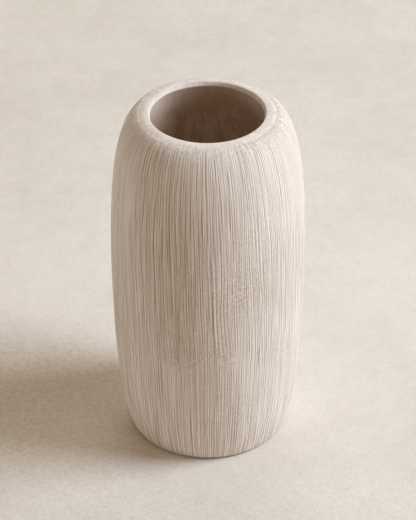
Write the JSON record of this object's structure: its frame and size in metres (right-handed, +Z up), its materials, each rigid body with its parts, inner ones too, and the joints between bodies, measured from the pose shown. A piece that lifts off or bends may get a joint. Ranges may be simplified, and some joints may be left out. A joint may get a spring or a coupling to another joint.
{
  "type": "terracotta vase",
  "caption": "Tall broad-shouldered clay vase with a round mouth, smooth lip and combed limewashed wall, standing on felt pads.",
  "frame": {"origin": "on the floor under the middle of the foot", "axes": "+Z up along the axis of the vase, -Y towards the viewer of the picture, +X to the viewer's right"},
  "size_m": [0.229, 0.229, 0.432],
  "materials": {
    "limewashed_clay": "matt limewash over combed terracotta",
    "rim_clay": "smoothed matt limewash",
    "pad_felt": "pressed felt"
  },
  "bodies": {
    "root": {"base_slab": "limewashed_clay", "lower_wall": "limewashed_clay", "upper_wall": "limewashed_clay", "rim_ring": "rim_clay", "felt_pad_1": "pad_felt", "felt_pad_2": "pad_felt", "felt_pad_3": "pad_felt", "felt_pad_4": "pad_felt"}
  },
  "joints": []
}
